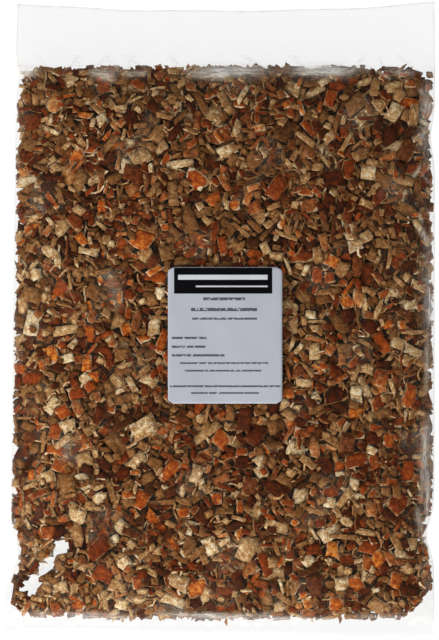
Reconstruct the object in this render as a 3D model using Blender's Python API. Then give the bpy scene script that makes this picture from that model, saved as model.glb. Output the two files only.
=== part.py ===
"""A clear bag of cut, dried orange peel, lying on its back with its label up.

Metres, +Z up, +Y towards the bag's empty head. The origin is at the middle of the bag's footprint, on the surface
that it lies on. The bag is one solid out to its film: a pillow of peel between two film walls, with the pieces
of peel that press against the upper wall standing out of it, an empty head of film above the peel and a narrow
welded strip below it. The label is a thin sheet stuck on the upper wall.
"""

import math
import random

import bmesh
import bpy
from mathutils import Euler, Matrix, Vector

# The film bag, a 10 by 15 inch size. Its sides, from the middle of its width at the head and at the foot.
BAG_LENGTH = 0.3816
LEFT_SIDE = (-0.1210, -0.1260)
RIGHT_SIDE = (0.1300, 0.1294)
FOOT_FLARE = 0.0040  # how far the left corner of the foot is drawn out
WALLS = 0.0008  # both film walls pressed together, drawn thick enough to be a solid
HEAD_DIP = 0.0052
HEAD_WAVE = 0.0008
FOOT_SKEW = 0.0040

# The peel's own length along the bag, and the height that it gives the bag.
PEEL_TOP = 0.1525
PEEL_FOOT = -0.1808
PILLOW_HEIGHT = 0.0400
FOLD_HEIGHT = 0.0110  # where the two walls meet along the sides
HEAD_EDGE_HEIGHT = 0.0045
FOOT_EDGE_HEIGHT = 0.0060
CROWN_ACROSS = (2.8, 0.54)  # powers of the crown from side to side, and from head to foot
CROWN_ALONG = (4.2, 0.52)
SEAT_ACROSS = 8.0  # powers of the flat seat under the bag
SEAT_ALONG = 10.0
SEAT_GAIN = 1.35
UNEVENNESS = 0.0007

# Pinches in the sides, as (side, place along the bag, depth, reach).
PINCHES = (
    (-1, -0.1410, 0.0046, 0.0120),
    (-1, 0.1440, 0.0012, 0.0100),
    (1, -0.1295, 0.0046, 0.0120),
    (1, 0.1090, 0.0024, 0.0120),
)

# The grid that carries the film.
CELLS_ACROSS = 16
CELLS_OF_PEEL = 20
CELLS_OF_HEAD = 3

# Cut peel: longest and shortest piece, width share of the length, and thickness.
PEEL_LENGTHS = (0.0170, 0.0085)
PEEL_WIDTH_SHARE = (0.50, 0.95)
PEEL_THICKNESS = (0.0020, 0.0030)
PEEL_STANDS_OUT = (0.0004, 0.0011)
PEEL_TILT = math.radians(16)
PEEL_SKEW = 0.16
PIECES_OF_PEEL = 375
PEEL_SPACING = 0.90  # of two pieces' mean length, the least between their middles
PEEL_MARGIN = 0.0095  # clear of the bag's outline

# The label.
LABEL_SIZE = (0.0677, 0.0808)
LABEL_MIDDLE = (0.0039, -0.0097)
LABEL_CORNER = 0.0034
LABEL_THICKNESS = 0.0004
LABEL_LIFT = 0.0006  # its underside above the film
LABEL_CELL = 0.0075
LABEL_SURROUND = 0.0100

SEED = 11

FILM_COLOUR = (0.42, 0.19, 0.08, 1.0)
PAPER_COLOUR = (0.62, 0.65, 0.72, 1.0)


def clear_scene():
    """Removes what the scene holds."""
    for thing in list(bpy.data.objects):
        bpy.data.objects.remove(thing, do_unlink=True)


def collection_named(name):
    """A new collection in the scene."""
    made = bpy.data.collections.new(name)
    bpy.context.scene.collection.children.link(made)
    return made


def material(name, colour, roughness):
    """A plain Principled material."""
    made = bpy.data.materials.new(name)
    made.use_nodes = True
    shader = made.node_tree.nodes["Principled BSDF"]
    shader.inputs["Base Color"].default_value = colour
    shader.inputs["Roughness"].default_value = roughness
    shader.inputs["Metallic"].default_value = 0.0
    return made


def object_from(name, bm, finish, collection):
    """A mesh object made from bm, which is freed."""
    mesh = bpy.data.meshes.new(name)
    bm.to_mesh(mesh)
    bm.free()
    mesh.materials.append(finish)
    made = bpy.data.objects.new(name, mesh)
    collection.objects.link(made)
    return made


def smooth_step(t):
    """0 below 0, 1 above 1, and an even turn between."""
    t = min(1.0, max(0.0, t))
    return t * t * (3 - 2 * t)


def side_edge(side, y):
    """X of the bag's left (-1) or right (+1) side at y: a straight run, the flare of the foot and the pinches."""
    share = (BAG_LENGTH / 2 - y) / BAG_LENGTH
    at_head, at_foot = LEFT_SIDE if side < 0 else RIGHT_SIDE
    x = at_head + (at_foot - at_head) * share
    if side < 0:
        x -= FOOT_FLARE * smooth_step((PEEL_FOOT + 0.03 - y) / 0.03)
    for pinched, place, depth, reach in PINCHES:
        if pinched == side:
            x -= side * depth * math.exp(-(((y - place) / reach) ** 2))
    return x


def head_edge(x):
    """Y of the open stretch of film's far edge: it dips in the middle, where the film pulls in."""
    return BAG_LENGTH / 2 - HEAD_DIP * (1 - abs(x / RIGHT_SIDE[0]) ** 2.5) - 0.0004 * math.sin(x * 90)


def foot_edge(x):
    """Y of the weld's edge: it runs a little askew."""
    return -BAG_LENGTH / 2 + FOOT_SKEW * smooth_step(0.5 - x / 0.24) - 0.0008 * math.cos((x + 0.03) * 55)


def place_along(y):
    """-1 to 1 over the peel's length, from foot to head."""
    return (y - (PEEL_TOP + PEEL_FOOT) / 2) / ((PEEL_TOP - PEEL_FOOT) / 2)


def fold_height(x, y):
    """Height of the line where the walls meet: it droops to the head's edge, in slight waves, and to the foot's."""
    up = smooth_step((y - PEEL_TOP) / (BAG_LENGTH / 2 - PEEL_TOP))
    down = smooth_step((PEEL_FOOT - y) / (PEEL_FOOT + BAG_LENGTH / 2))
    droop = (HEAD_EDGE_HEIGHT - FOLD_HEIGHT) * up + (FOOT_EDGE_HEIGHT - FOLD_HEIGHT) * down
    return FOLD_HEIGHT + droop + HEAD_WAVE * up * math.sin(x * 82 + 0.6) + 0.5 * HEAD_WAVE * up * math.sin(x * 151)


def crown(u, v):
    """How full the bag is at u across and v along, from 0 at its outline to 1."""
    if abs(u) >= 1 or abs(v) >= 1:
        return 0.0
    across = (1 - abs(u) ** CROWN_ACROSS[0]) ** CROWN_ACROSS[1]
    along = (1 - abs(v) ** CROWN_ALONG[0]) ** CROWN_ALONG[1]
    return across * along


def seat(u, v):
    """How far down the lower wall has sunk towards the surface below, from 0 to 1."""
    if abs(u) >= 1 or abs(v) >= 1:
        return 0.0
    return min(1.0, SEAT_GAIN * math.sqrt((1 - abs(u) ** SEAT_ACROSS) * (1 - abs(v) ** SEAT_ALONG)))


def unevenness(x, y):
    """The slight lumps of a bag of loose pieces, as a sum of waves."""
    waves = math.sin(x * 61 + 0.7) * math.cos(y * 47 - 0.4) + 0.6 * math.sin(x * 97 - y * 74 + 1.9)
    return UNEVENNESS * waves


def across_at(x, y):
    """-1 to 1 from the bag's left side to its right at (x, y)."""
    left, right = side_edge(-1, y), side_edge(1, y)
    return (2 * x - left - right) / (right - left)


def upper_wall(x, y):
    """Height of the upper film wall."""
    fullness = crown(across_at(x, y), place_along(y))
    rise = (PILLOW_HEIGHT - FOLD_HEIGHT) * fullness
    return fold_height(x, y) + WALLS / 2 + rise + unevenness(x, y) * fullness


def lower_wall(x, y):
    """Height of the lower film wall: flat on the surface below, all but its borders."""
    down = fold_height(x, y) - WALLS / 2
    return down * (1 - seat(across_at(x, y), place_along(y)))


def wall_normal(x, y):
    """The upper wall's outward direction, from its slopes."""
    step = 0.001
    slope_x = (upper_wall(x + step, y) - upper_wall(x - step, y)) / (2 * step)
    slope_y = (upper_wall(x, y + step) - upper_wall(x, y - step)) / (2 * step)
    return Vector((-slope_x, -slope_y, 1.0)).normalized()


def stations_across():
    """Places of the grid's columns from -1 to 1, closer together near the sides, where the film turns down."""
    return [math.sin(math.pi / 2 * (2 * i / CELLS_ACROSS - 1)) for i in range(CELLS_ACROSS + 1)]


def stations_along():
    """Y of the grid's rows from foot to head: the weld, the peel with closer rows at its ends, and the head."""
    middle, half = (PEEL_TOP + PEEL_FOOT) / 2, (PEEL_TOP - PEEL_FOOT) / 2
    peel = [middle + half * math.sin(math.pi / 2 * (2 * j / CELLS_OF_PEEL - 1)) for j in range(CELLS_OF_PEEL + 1)]
    head = [PEEL_TOP + (BAG_LENGTH / 2 - PEEL_TOP) * (j + 1) / CELLS_OF_HEAD for j in range(CELLS_OF_HEAD)]
    return [-BAG_LENGTH / 2, *peel, *head]


def film_body(finish, collection):
    """The bag without the pieces that stand out: a flat slab of cells whose two faces are drawn to the film walls."""
    columns, rows = stations_across(), stations_along()
    bm = bmesh.new()
    bmesh.ops.create_grid(bm, x_segments=CELLS_ACROSS, y_segments=len(rows) - 1, size=1.0)
    bm.verts.ensure_lookup_table()
    bmesh.ops.solidify(bm, geom=bm.faces[:], thickness=1.0)
    lowest = min(v.co.z for v in bm.verts)
    for vertex in bm.verts:
        column = round((vertex.co.x + 1) / 2 * CELLS_ACROSS)
        row = round((vertex.co.y + 1) / 2 * (len(rows) - 1))
        y = rows[row]
        left, right = side_edge(-1, y), side_edge(1, y)
        x = (left + right) / 2 + (right - left) / 2 * columns[column]
        if row == 0:
            y = foot_edge(x)
        elif row == len(rows) - 1:
            y = head_edge(x)
        height = lower_wall(x, y) if vertex.co.z < lowest + 0.5 else upper_wall(x, y)
        vertex.co = (x, y, height)
    bmesh.ops.recalc_face_normals(bm, faces=bm.faces[:])
    return object_from("bag", bm, finish, collection)


def under_label(x, y, room):
    """True within room of the label's outline."""
    return (
        abs(x - LABEL_MIDDLE[0]) < LABEL_SIZE[0] / 2 + room
        and abs(y - LABEL_MIDDLE[1]) < LABEL_SIZE[1] / 2 + room
    )


def peel_places(draw):
    """(x, y, length) of each piece, the longest first, none too near another, the label or the outline."""
    places = []
    longest, shortest = PEEL_LENGTHS
    tries = 0
    while len(places) < PIECES_OF_PEEL and tries < 60000:
        tries += 1
        length = longest + (shortest - longest) * (len(places) / PIECES_OF_PEEL) ** 0.6
        y = draw.uniform(PEEL_FOOT + PEEL_MARGIN, PEEL_TOP - PEEL_MARGIN)
        x = draw.uniform(side_edge(-1, y) + PEEL_MARGIN, side_edge(1, y) - PEEL_MARGIN)
        if under_label(x, y, LABEL_SURROUND):
            continue
        near = ((x - a) ** 2 + (y - b) ** 2 < (PEEL_SPACING * (length + other) / 2) ** 2 for a, b, other in places)
        if not any(near):
            places.append((x, y, length))
    return places


def peel_piece(number, place, draw, finish, collection):
    """One cut piece: a flat block, squeezed out of square, lying on the wall with a slight tilt and half sunk in it."""
    x, y, length = place
    width = length * draw.uniform(*PEEL_WIDTH_SHARE)
    thickness = draw.uniform(*PEEL_THICKNESS)
    lean = Euler((draw.uniform(-PEEL_TILT, PEEL_TILT), draw.uniform(-PEEL_TILT, PEEL_TILT), 0))
    turn = draw.uniform(0, math.pi)
    out = wall_normal(x, y)
    spin = out.to_track_quat("Z", "Y").to_matrix() @ Matrix.Rotation(turn, 3, "Z") @ lean.to_matrix()
    middle = Vector((x, y, upper_wall(x, y))) + out * (draw.uniform(*PEEL_STANDS_OUT) - thickness / 2)
    bm = bmesh.new()
    bmesh.ops.create_cube(bm, size=1.0)
    shifts = [(draw.uniform(-PEEL_SKEW, PEEL_SKEW), draw.uniform(-PEEL_SKEW, PEEL_SKEW)) for _ in range(4)]
    for vertex in bm.verts:
        shift = shifts[(vertex.co.x > 0) + 2 * (vertex.co.y > 0)]
        across, along = vertex.co.x + shift[0], vertex.co.y + shift[1]
        vertex.co = middle + spin @ Vector((across * length, along * width, vertex.co.z * thickness))
    return object_from(f"piece_{number:03d}", bm, finish, collection)


def join_peel(bag, collection):
    """Joins the pieces to the bag with one union, applies it and removes them."""
    union = bag.modifiers.new("pieces", "BOOLEAN")
    union.operation = "UNION"
    union.operand_type = "COLLECTION"
    union.collection = collection
    union.solver = "MANIFOLD"
    graph = bpy.context.evaluated_depsgraph_get()
    joined = bpy.data.meshes.new_from_object(bag.evaluated_get(graph))
    bag.modifiers.clear()
    bag.data = joined
    for piece in list(collection.objects):
        bpy.data.objects.remove(piece, do_unlink=True)
    bpy.data.collections.remove(collection)


def keep_outer_shell(bag):
    """Fills the hollows that the union sealed, and drops loose scraps: only the shell with the most faces stays."""
    bm = bmesh.new()
    bm.from_mesh(bag.data)
    left = set(bm.verts)
    shells = []
    while left:
        shell, front = set(), [left.pop()]
        while front:
            vertex = front.pop()
            shell.add(vertex)
            near = [edge.other_vert(vertex) for edge in vertex.link_edges]
            front += [other for other in near if other in left]
            left.difference_update(near)
        shells.append(shell)
    largest = max(shells, key=len)
    spare = [vertex for shell in shells if shell is not largest for vertex in shell]
    bmesh.ops.delete(bm, geom=spare, context="VERTS")
    bm.to_mesh(bag.data)
    bm.free()


def label_outline(bm):
    """A flat rounded rectangle as one face: straight sides joined by quarter circles."""
    half_x, half_y = LABEL_SIZE[0] / 2 - LABEL_CORNER, LABEL_SIZE[1] / 2 - LABEL_CORNER
    steps = 4
    points = []
    for quarter, (sign_x, sign_y) in enumerate(((1, 1), (-1, 1), (-1, -1), (1, -1))):
        for step in range(steps + 1):
            angle = math.pi / 2 * (quarter + step / steps)
            x = sign_x * half_x + LABEL_CORNER * math.cos(angle)
            y = sign_y * half_y + LABEL_CORNER * math.sin(angle)
            points.append(bm.verts.new((x, y, 0)))
    return bm.faces.new(points)


def cut_in_cells(bm):
    """Cuts the flat sheet along X and Y every LABEL_CELL, so that it can bend with the bag."""
    for axis in (0, 1):
        normal = Vector((1 - axis, axis, 0))
        count = round(LABEL_SIZE[axis] / LABEL_CELL)
        for step in range(1, count):
            place = normal * (LABEL_SIZE[axis] * (step / count - 0.5))
            geometry = bm.verts[:] + bm.edges[:] + bm.faces[:]
            bmesh.ops.bisect_plane(bm, geom=geometry, plane_co=place, plane_no=normal, dist=1e-6)


def label_sheet(finish, collection):
    """The label: a rounded sheet laid on the upper wall, LABEL_LIFT clear of it all over."""
    bm = bmesh.new()
    label_outline(bm)
    cut_in_cells(bm)
    bmesh.ops.triangulate(bm, faces=bm.faces[:])
    bmesh.ops.solidify(bm, geom=bm.faces[:], thickness=1.0)
    lowest = min(v.co.z for v in bm.verts)
    for vertex in bm.verts:
        x, y = vertex.co.x + LABEL_MIDDLE[0], vertex.co.y + LABEL_MIDDLE[1]
        lift = LABEL_LIFT + (0 if vertex.co.z < lowest + 0.5 else LABEL_THICKNESS)
        vertex.co = (x, y, upper_wall(x, y) + lift)
    bmesh.ops.recalc_face_normals(bm, faces=bm.faces[:])
    return object_from("label", bm, finish, collection)


def main():
    """Builds the bag, its pieces of peel and its label."""
    clear_scene()
    model = collection_named("bag_of_orange_peel")
    pieces = collection_named("pieces_of_peel")
    film = material("filled_film", FILM_COLOUR, 0.35)
    paper = material("label_paper", PAPER_COLOUR, 0.5)
    draw = random.Random(SEED)
    bag = film_body(film, model)
    for number, place in enumerate(peel_places(draw)):
        peel_piece(number, place, draw, film, pieces)
    join_peel(bag, pieces)
    keep_outer_shell(bag)
    label_sheet(paper, model)


main()
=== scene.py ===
"""A clear bag of cut, dried orange peel, lying on its back on a white table and seen from straight above.

The loose peel is laid piece by piece on a height map, so that each piece rests on those under it, below a ceiling at
the film. The film is then drawn over what was laid. The map holds only tops: some dozens of pieces, many of them on
edge near the border, still reach a few millimetres through the film. All lengths are in metres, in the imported
model's frame, other than those of the tables of marks, creases and bars, which are in millimetres.
"""

from __future__ import annotations

import functools
import logging
import math
from dataclasses import astuple, dataclass
from enum import Enum
from typing import Callable

import bpy
import numpy as np
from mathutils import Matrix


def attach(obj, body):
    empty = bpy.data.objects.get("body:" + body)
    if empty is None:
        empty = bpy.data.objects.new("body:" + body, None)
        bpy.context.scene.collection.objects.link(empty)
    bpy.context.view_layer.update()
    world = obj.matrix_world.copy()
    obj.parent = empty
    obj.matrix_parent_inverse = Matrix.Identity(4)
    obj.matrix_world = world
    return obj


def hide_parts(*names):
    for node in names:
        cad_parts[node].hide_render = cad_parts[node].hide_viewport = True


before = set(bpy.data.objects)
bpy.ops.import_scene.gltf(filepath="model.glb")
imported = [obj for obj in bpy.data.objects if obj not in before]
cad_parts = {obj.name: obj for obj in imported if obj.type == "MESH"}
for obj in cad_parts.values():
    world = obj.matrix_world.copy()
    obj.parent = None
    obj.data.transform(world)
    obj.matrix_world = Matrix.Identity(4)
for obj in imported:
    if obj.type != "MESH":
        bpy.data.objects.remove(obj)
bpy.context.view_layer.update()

log = logging.getLogger("peel_bag")

Array = np.ndarray
Colour = tuple[float, float, float]
MM = 0.001
WIDEST = 0.0090
SEED = 7
CREASE_SEED = 12
MM_IN_DECIMETRE = 100.0
DECIMETRES_IN_METRE = 10
OUTSIDE = -1.0
FILM_GAP = 0.0006
MARK_SHRINK = (0.95, 0.92)
SQUARE = np.array([(-1, -1), (1, -1), (1, 1), (-1, 1)]) / 2
STEPS = np.array([-1, -1 / 3, 1 / 3, 1])
PLATE = len(STEPS) ** 2


# Curves used by many pieces


def ease(t: Array) -> Array:
    """0 below 0, 1 above 1, and an even turn between.

    Args:
        t: Any values.

    Returns:
        3 t^2 - 2 t^3 of t held between 0 and 1.
    """
    t = np.clip(t, 0.0, 1.0)
    return t * t * (3 - 2 * t)


def bell(x: Array, width: float) -> Array:
    """A bump of height 1 at 0 that falls off over width."""
    return np.exp(-((x / width) ** 2))


def sines(x: Array, y: Array, waves: tuple[tuple[float, float, float, float], ...]) -> Array:
    """A sum of plane waves: each adds amount * sin(a x + b y + start).

    Args:
        x: Places across.
        y: Places along.
        waves: (amount, a, b, start) of each wave, in radians per metre and radians.

    Returns:
        The sum at each place.
    """
    return sum(amount * np.sin(a * x + b * y + start) for amount, a, b, start in waves)


def off_line(x: Array, y: Array, start: tuple[float, float], end: tuple[float, float]) -> tuple[Array, Array]:
    """How far places are from a straight stretch.

    Args:
        x: Places across.
        y: Places along.
        start: Where the stretch begins.
        end: Where it ends.

    Returns:
        The distance to the nearest place of the stretch, and that place's share of the way from start to end.
    """
    run_x, run_y = end[0] - start[0], end[1] - start[1]
    share = ((x - start[0]) * run_x + (y - start[1]) * run_y) / (run_x * run_x + run_y * run_y)
    held = np.clip(share, 0, 1)
    return np.hypot(x - start[0] - held * run_x, y - start[1] - held * run_y), held


def blurred(values: Array, cells: float) -> Array:
    """A height map blurred by a Gaussian of this many cells, one axis after the other, with its borders held."""
    reach = max(1, int(3 * cells))
    weights = bell(np.arange(-reach, reach + 1), math.sqrt(2) * cells)
    weights /= weights.sum()
    for axis in (0, 1):
        padded = np.pad(values, [(reach, reach) if a == axis else (0, 0) for a in (0, 1)], mode="edge")
        values = np.apply_along_axis(np.convolve, axis, padded, weights, "valid")
    return values


def widened(values: Array, cells: int) -> Array:
    """The highest value within this many cells of each cell, over a round neighbourhood."""
    best = values.copy()
    rows, columns = values.shape
    for down in range(-cells, cells + 1):
        for over in range(-cells, cells + 1):
            if down * down + over * over > cells * cells:
                continue
            a, b = slice(max(0, down), rows + min(0, down)), slice(max(0, -down), rows + min(0, -down))
            c, d = slice(max(0, over), columns + min(0, over)), slice(max(0, -over), columns + min(0, -over))
            np.maximum(best[a, c], values[b, d], out=best[a, c])
    return best


# Meshes


def mesh_piece(name: str, places: Array, faces: Array, smooth: Array | bool = True) -> bpy.types.Object:
    """A mesh object of four-sided faces.

    Args:
        name: The piece's name.
        places: Vertices, one row each.
        faces: Four vertex numbers a row, anticlockwise from outside.
        smooth: Which faces are shaded smooth, or one answer for all.

    Returns:
        The object, linked to the scene at the origin.
    """
    mesh = bpy.data.meshes.new(name)
    mesh.vertices.add(len(places))
    mesh.vertices.foreach_set("co", np.ascontiguousarray(places, dtype=np.float32).ravel())
    mesh.loops.add(faces.size)
    mesh.loops.foreach_set("vertex_index", np.ascontiguousarray(faces, dtype=np.int32).ravel())
    mesh.polygons.add(len(faces))
    mesh.polygons.foreach_set("loop_start", np.arange(0, faces.size, 4, dtype=np.int32))
    mesh.polygons.foreach_set("use_smooth", np.broadcast_to(smooth, len(faces)).astype(bool))
    mesh.update(calc_edges=True)
    mesh.validate()
    piece = bpy.data.objects.new(name, mesh)
    bpy.context.scene.collection.objects.link(piece)
    return piece


def give(piece: bpy.types.Object, name: str, values: Array) -> None:
    """Stores one number for each vertex under a name that the materials read."""
    layer = piece.data.attributes.new(name, "FLOAT", "POINT")
    layer.data.foreach_set("value", np.ascontiguousarray(values, dtype=np.float32).ravel())


def grid_faces(rows: int, columns: int, first: int = 0, turned: bool = False) -> Array:
    """Faces of a grid of vertices stored row by row, columns running along +X and rows along +Y.

    Args:
        rows: Vertices along.
        columns: Vertices across.
        first: Number of the grid's first vertex.
        turned: True for a grid that faces down.

    Returns:
        Four vertex numbers a row.
    """
    corner = first + (np.arange(rows - 1)[:, None] * columns + np.arange(columns - 1)).ravel()
    faces = np.stack([corner, corner + 1, corner + columns + 1, corner + columns], axis=1)
    return faces[:, ::-1] if turned else faces


def grid_rim(rows: int, columns: int) -> Array:
    """Numbers of a grid's border vertices, anticlockwise from the first."""
    bottom = np.arange(columns - 1)
    right = np.arange(rows - 1) * columns + columns - 1
    top = (rows - 1) * columns + np.arange(columns - 1, 0, -1)
    left = np.arange(rows - 1, 0, -1) * columns
    return np.concatenate([bottom, right, top, left])


def shell_faces(rows: int, columns: int) -> Array:
    """Faces, all facing outwards, of an upper grid and a lower one stored after it, joined around the border."""
    count = rows * columns
    rim = grid_rim(rows, columns)
    after = np.roll(rim, -1)
    wall = np.stack([rim + count, after + count, after, rim], axis=1)
    return np.concatenate([grid_faces(rows, columns), grid_faces(rows, columns, count, True), wall])


def two_sided(x: Array, y: Array, upper: Array, lower: Array) -> tuple[Array, Array]:
    """A closed shell between two heights over the same grid of places.

    Args:
        x: Places across, by row and column.
        y: Places along.
        upper: Heights of the upper grid.
        lower: Those of the lower one.

    Returns:
        The vertices and the faces.
    """
    places = np.concatenate([np.stack([x, y, z], -1).reshape(-1, 3) for z in (upper, lower)])
    return places, shell_faces(*x.shape)


# Shader expressions


class Wire:
    """A node's output that Python's operators carry through Math nodes."""

    def __init__(self, bench: "Bench", socket: bpy.types.NodeSocket) -> None:
        """Keeps the socket and the bench that makes further nodes."""
        self.bench = bench
        self.socket = socket

    def _math(self, operation: str, *values: "Wire | float") -> "Wire":
        """A Math node on these values."""
        return self.bench.node("ShaderNodeMath", {"operation": operation}, dict(enumerate(values)))

    def __add__(self, other: "Wire | float") -> "Wire":
        """self + other"""
        return self._math("ADD", self, other)

    __radd__ = __add__

    def __mul__(self, other: "Wire | float") -> "Wire":
        """self * other"""
        return self._math("MULTIPLY", self, other)

    __rmul__ = __mul__

    def __sub__(self, other: "Wire | float") -> "Wire":
        """self - other"""
        return self._math("SUBTRACT", self, other)

    def __rsub__(self, other: "Wire | float") -> "Wire":
        """other - self"""
        return self._math("SUBTRACT", other, self)

    def __pow__(self, other: "Wire | float") -> "Wire":
        """self to the power of other"""
        return self._math("POWER", self, other)

    def most(self, other: "Wire | float") -> "Wire":
        """The larger of self and other."""
        return self._math("MAXIMUM", self, other)

    def least(self, other: "Wire | float") -> "Wire":
        """The smaller of self and other."""
        return self._math("MINIMUM", self, other)

    def size(self) -> "Wire":
        """self without its sign."""
        return self._math("ABSOLUTE", self)

    def rise(self, low: float, high: float, least: float = 0.0, most: float = 1.0) -> "Wire":
        """An even turn from least, where self is low, to most, where it is high.

        Args:
            low: Where the turn begins.
            high: Where it ends.
            least: The result up to low.
            most: The result from high on.

        Returns:
            The result as a wire.
        """
        values = {"Value": self, "From Min": low, "From Max": high, "To Min": least, "To Max": most}
        return self.bench.node("ShaderNodeMapRange", {"interpolation_type": "SMOOTHSTEP"}, values)


class Bench:
    """Makes the nodes of one material."""

    def __init__(self, name: str) -> None:
        """Starts a material with an empty node tree.

        Args:
            name: The material's name.
        """
        self.material = bpy.data.materials.new(name)
        self.material.use_nodes = True
        self.tree = self.material.node_tree
        self.tree.nodes.clear()

    def node(
        self, kind: str, settings: dict | None = None, inputs: dict | None = None, output: int | str = 0
    ) -> Wire:
        """Adds a node.

        Args:
            kind: Blender's name for the node's type.
            settings: The node's own properties, set first.
            inputs: Numbers, colours or wires by socket name or number.
            output: The output that the wire takes.

        Returns:
            The wire.
        """
        made = self.tree.nodes.new(kind)
        for name, value in (settings or {}).items():
            setattr(made, name, value)
        for key, value in (inputs or {}).items():
            socket = made.inputs[key]
            if isinstance(value, Wire):
                self.tree.links.new(value.socket, socket)
            else:
                socket.default_value = value
        return Wire(self, made.outputs[output])

    def ramp(self, wire: Wire, stops: tuple[tuple[float, Colour], ...]) -> Wire:
        """A colour that follows a value through stops of (place, colour)."""
        made = self.tree.nodes.new("ShaderNodeValToRGB")
        self.tree.links.new(wire.socket, made.inputs[0])
        elements = made.color_ramp.elements
        while len(elements) < len(stops):
            elements.new(1.0)
        for element, (place, colour) in zip(elements, stops):
            element.position = place
            element.color = (*colour, 1.0)
        return Wire(self, made.outputs[0])

    def blend(self, share: Wire | float, first: Wire | Colour, second: Wire | Colour) -> Wire:
        """The first colour where share is 0 and the second where share is 1."""
        first, second = (c if isinstance(c, Wire) else (*c, 1.0) for c in (first, second))
        return self.node("ShaderNodeMix", {"data_type": "RGBA"}, {0: share, 6: first, 7: second}, 2)

    def stored(self, name: str) -> Wire:
        """The number stored on the mesh under this name."""
        return self.node("ShaderNodeAttribute", {"attribute_name": name}, output="Fac")

    def place(self) -> Wire:
        """The place on the piece, in metres."""
        return self.node("ShaderNodeTexCoord", output="Object")

    def noise(self, where: Wire, scale: float, detail: float = 2.0, roughness: float = 0.5) -> Wire:
        """Cloudy values around 0.5, scale of them to a metre."""
        values = {"Vector": where, "Scale": scale, "Detail": detail, "Roughness": roughness}
        return self.node("ShaderNodeTexNoise", {}, values)

    def bump(self, height: Wire, strength: float, distance: float) -> Wire:
        """A normal bent by a height."""
        return self.node("ShaderNodeBump", {}, {"Height": height, "Strength": strength, "Distance": distance})

    def bars(self, mask: Callable, shapes: tuple) -> Wire:
        """The largest of the masks of several shapes."""
        return functools.reduce(Wire.most, map(mask, shapes))

    def surface(self, inputs: dict) -> Wire:
        """A Principled shader with these inputs."""
        return self.node("ShaderNodeBsdfPrincipled", {}, inputs)

    def finish(self, shader: Wire) -> bpy.types.Material:
        """Joins the shader to the output and hands over the material."""
        made = self.tree.nodes.new("ShaderNodeOutputMaterial")
        self.tree.links.new(shader.socket, made.inputs["Surface"])
        return self.material


# Finishes


@dataclass(frozen=True)
class DriedPeel:
    """Peel: a waxy orange to brown-red skin over cream to brown pith, with the pith showing as a thin line round it.

    The ramps run by tone, from 0 for dark to 1 for light. Scales are in clouds or cells to a metre.
    """

    name: str
    skin: tuple[tuple[float, Colour], ...] = (
        (0.00, (0.034, 0.007, 0.002)),
        (0.25, (0.090, 0.014, 0.002)),
        (0.50, (0.174, 0.028, 0.004)),
        (0.75, (0.302, 0.052, 0.006)),
        (0.92, (0.430, 0.105, 0.013)),
        (1.00, (0.590, 0.200, 0.028)),
    )
    pith: tuple[tuple[float, Colour], ...] = (
        (0.00, (0.058, 0.020, 0.005)),
        (0.25, (0.148, 0.060, 0.019)),
        (0.50, (0.286, 0.137, 0.049)),
        (0.75, (0.460, 0.268, 0.110)),
        (0.92, (0.660, 0.465, 0.230)),
        (1.00, (0.770, 0.660, 0.440)),
    )
    stain_colour: Colour = (0.200, 0.070, 0.016)
    fleck_colour: Colour = (0.140, 0.064, 0.020)
    rim_colour: Colour = (0.200, 0.085, 0.026)
    cloud_scale: float = 380.0
    grain_scale: float = 1000.0
    wear_scale: float = 190.0
    fading_scale: float = 300.0
    stain_scale: float = 330.0
    fine_scale: float = 1500.0
    relief_depth: float = 0.0009
    shine: float = 0.05

    def material(self) -> bpy.types.Material:
        """The finish, read from the stored numbers skin, rim, edge, tone and stain."""
        bench = Bench(self.name)
        where = bench.place()
        side, border, edge, own_tone, own_stain = map(bench.stored, ("skin", "rim", "edge", "tone", "stain"))
        cloud = bench.noise(where, self.cloud_scale, 3.0, 0.6)
        grain = bench.noise(where, self.grain_scale, 2.0, 0.7)
        tone = own_tone + (cloud - 0.5) * 1.15 + (grain - 0.5) * side.rise(0.2, 0.8, 1.0, 0.6)
        rim = border.rise(0.76, 0.98)
        worn = bench.noise(where, self.wear_scale, 1.0).rise(0.42, 0.52)
        line = rim * side.rise(0.90, 1.0) * edge * worn
        band = rim * side.rise(0.02, 0.2) * side.rise(0.8, 0.9, 1.0, 0.0) * edge
        paler = (line + band * 0.85) * (0.74 - own_tone * 0.55)
        dull = bench.noise(where, self.fading_scale).rise(0.50, 0.68)
        faded = own_stain.rise(0.35, 1.0, 0.0, 0.46) + dull * own_stain * 0.30
        skin = bench.blend(faded, bench.ramp(tone, self.skin), bench.ramp(tone - 0.20, self.pith))
        stain = own_stain * bench.noise(where, self.stain_scale).rise(0.38, 0.58)
        pith = bench.blend(stain * 0.7, bench.ramp(tone + paler, self.pith), self.stain_colour)
        flecks = bench.noise(where, self.fine_scale, 1.0).rise(0.58, 0.70)
        pith = bench.blend(flecks * 0.55, pith, self.fleck_colour)
        colour = bench.blend(side.rise(0.70, 0.86) * (1.0 - line), pith, skin)
        colour = bench.blend(rim * (1.0 - side.rise(0.0, 0.1)) * 0.35, colour, self.rim_colour)
        pores = bench.node("ShaderNodeTexVoronoi", {"feature": "F1"}, {"Vector": where, "Scale": self.fine_scale})
        relief = pores.rise(0.05, 0.5) * side * 0.5 + cloud * 1.3 + grain * 0.9
        inputs = {
            "Base Color": colour,
            "Roughness": side.rise(0.7, 0.9, 0.82, 0.50) + (grain - 0.5) * 0.2,
            "Normal": bench.bump(relief, 0.8, self.relief_depth),
            "Specular IOR Level": self.shine,
        }
        return bench.finish(bench.surface(inputs))


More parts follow.
